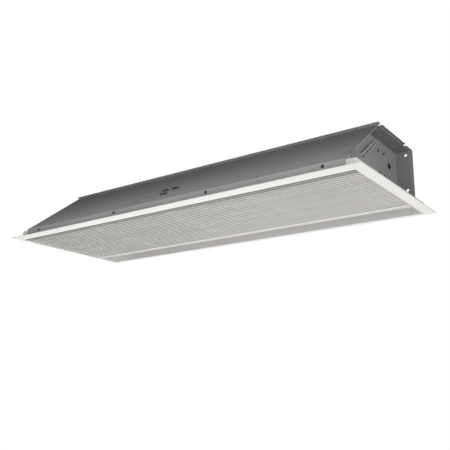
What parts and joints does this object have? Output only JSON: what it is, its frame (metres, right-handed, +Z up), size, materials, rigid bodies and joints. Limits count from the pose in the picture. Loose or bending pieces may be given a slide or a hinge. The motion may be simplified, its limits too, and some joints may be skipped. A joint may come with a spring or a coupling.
{
  "type": "air curtain",
  "caption": "Recessed air curtain with a sloping sheet casing, white ceiling trim, hinged bar intake grille, cross-flow fan drums and a long discharge slot with vanes.",
  "frame": {"origin": "centre of the trim frame's opening, level with the lowest edge of its inner lip", "axes": "+X along the length, +Y across from the intake side to the discharge side, +Z up into the ceiling"},
  "size_m": [1.18, 0.45, 0.1842],
  "materials": {
    "white_trim": "white powder coat",
    "dark_sheet": "satin dark grey sheet steel",
    "end_sheet": "satin dark grey sheet steel",
    "duct_sheet": "galvanised sheet",
    "grille": "satin anodised",
    "nozzle": "satin anodised",
    "steel_parts": "zinc plated",
    "blades": "mill finish",
    "motor_cast": "cast",
    "motor_core": "painted core",
    "rubber": "matt",
    "black_plastic": "matt",
    "white_plastic": "matt",
    "magnet": "ferrite",
    "bronze": "sintered"
  },
  "bodies": {
    "casing": {"trim_rail_near": "white_trim", "trim_rail_far": "white_trim", "trim_rail_left": "white_trim", "trim_rail_right": "white_trim", "corner_keys": "steel_parts", "slope_panel": "dark_sheet", "top_cover": "dark_sheet", "end_pan_left": "end_sheet", "end_pan_right": "end_sheet", "end_channel_left": "end_sheet", "end_channel_right": "end_sheet", "corner_bracket": "steel_parts", "threaded_inserts": "steel_parts", "skirt_screws": "steel_parts", "bearing_plate_screws": "steel_parts", "slope_rivets": "steel_parts", "scroll_shell": "duct_sheet", "tongue_shell": "duct_sheet", "divider": "nozzle", "nozzle_outer_wall": "nozzle", "nozzle_ends": "nozzle", "motor_stator": "motor_core", "motor_bells": "motor_cast", "motor_mount_rings": "rubber", "motor_hanger_left": "duct_sheet", "motor_hanger_right": "duct_sheet", "end_bearings": "bronze", "bearing_housing_left": "black_plastic", "bearing_housing_right": "black_plastic", "catch_brackets": "duct_sheet", "catch_magnets": "magnet", "control_box": "duct_sheet", "control_lid": "duct_sheet", "terminal_block": "white_plastic", "capacitor": "white_plastic", "cable_gland": "black_plastic", "gland_locknut": "black_plastic", "motor_lead": "rubber", "lead_gland": "rubber", "lead_clips": "black_plastic"},
    "fan_rotor": {"motor_shaft": "steel_parts", "fan_drum_left": "blades", "fan_drum_right": "blades", "drum_hub_left": "steel_parts", "drum_hub_right": "steel_parts"},
    "intake_grille": {"grille_bars": "grille", "grille_near_rail": "grille", "grille_far_rail": "grille", "grille_straps": "grille", "hinge_pins": "steel_parts", "strike_plates": "steel_parts"},
    "vane_near": {"vane_inner": "nozzle"},
    "vane_far": {"vane_outer": "nozzle"}
  },
  "joints": [
    {"name": "fan_spin", "type": "hinge", "parent": "casing", "child": "fan_rotor", "pos_m": [0, 0.104, 0.123], "axis": [1, 0, 0], "continuous": true},
    {"name": "grille_hinge", "type": "hinge", "parent": "casing", "child": "intake_grille", "pos_m": [0, 0.115, 0.005], "axis": [1, 0, 0], "range_deg": [0, 90]},
    {"name": "near_vane_turn", "type": "hinge", "parent": "casing", "child": "vane_near", "pos_m": [0, 0.1488, 0.044], "axis": [1, 0, 0], "range_deg": [-30, 30]},
    {"name": "far_vane_turn", "type": "hinge", "parent": "casing", "child": "vane_far", "pos_m": [0, 0.1731, 0.044], "axis": [1, 0, 0], "range_deg": [-30, 30]}
  ]
}
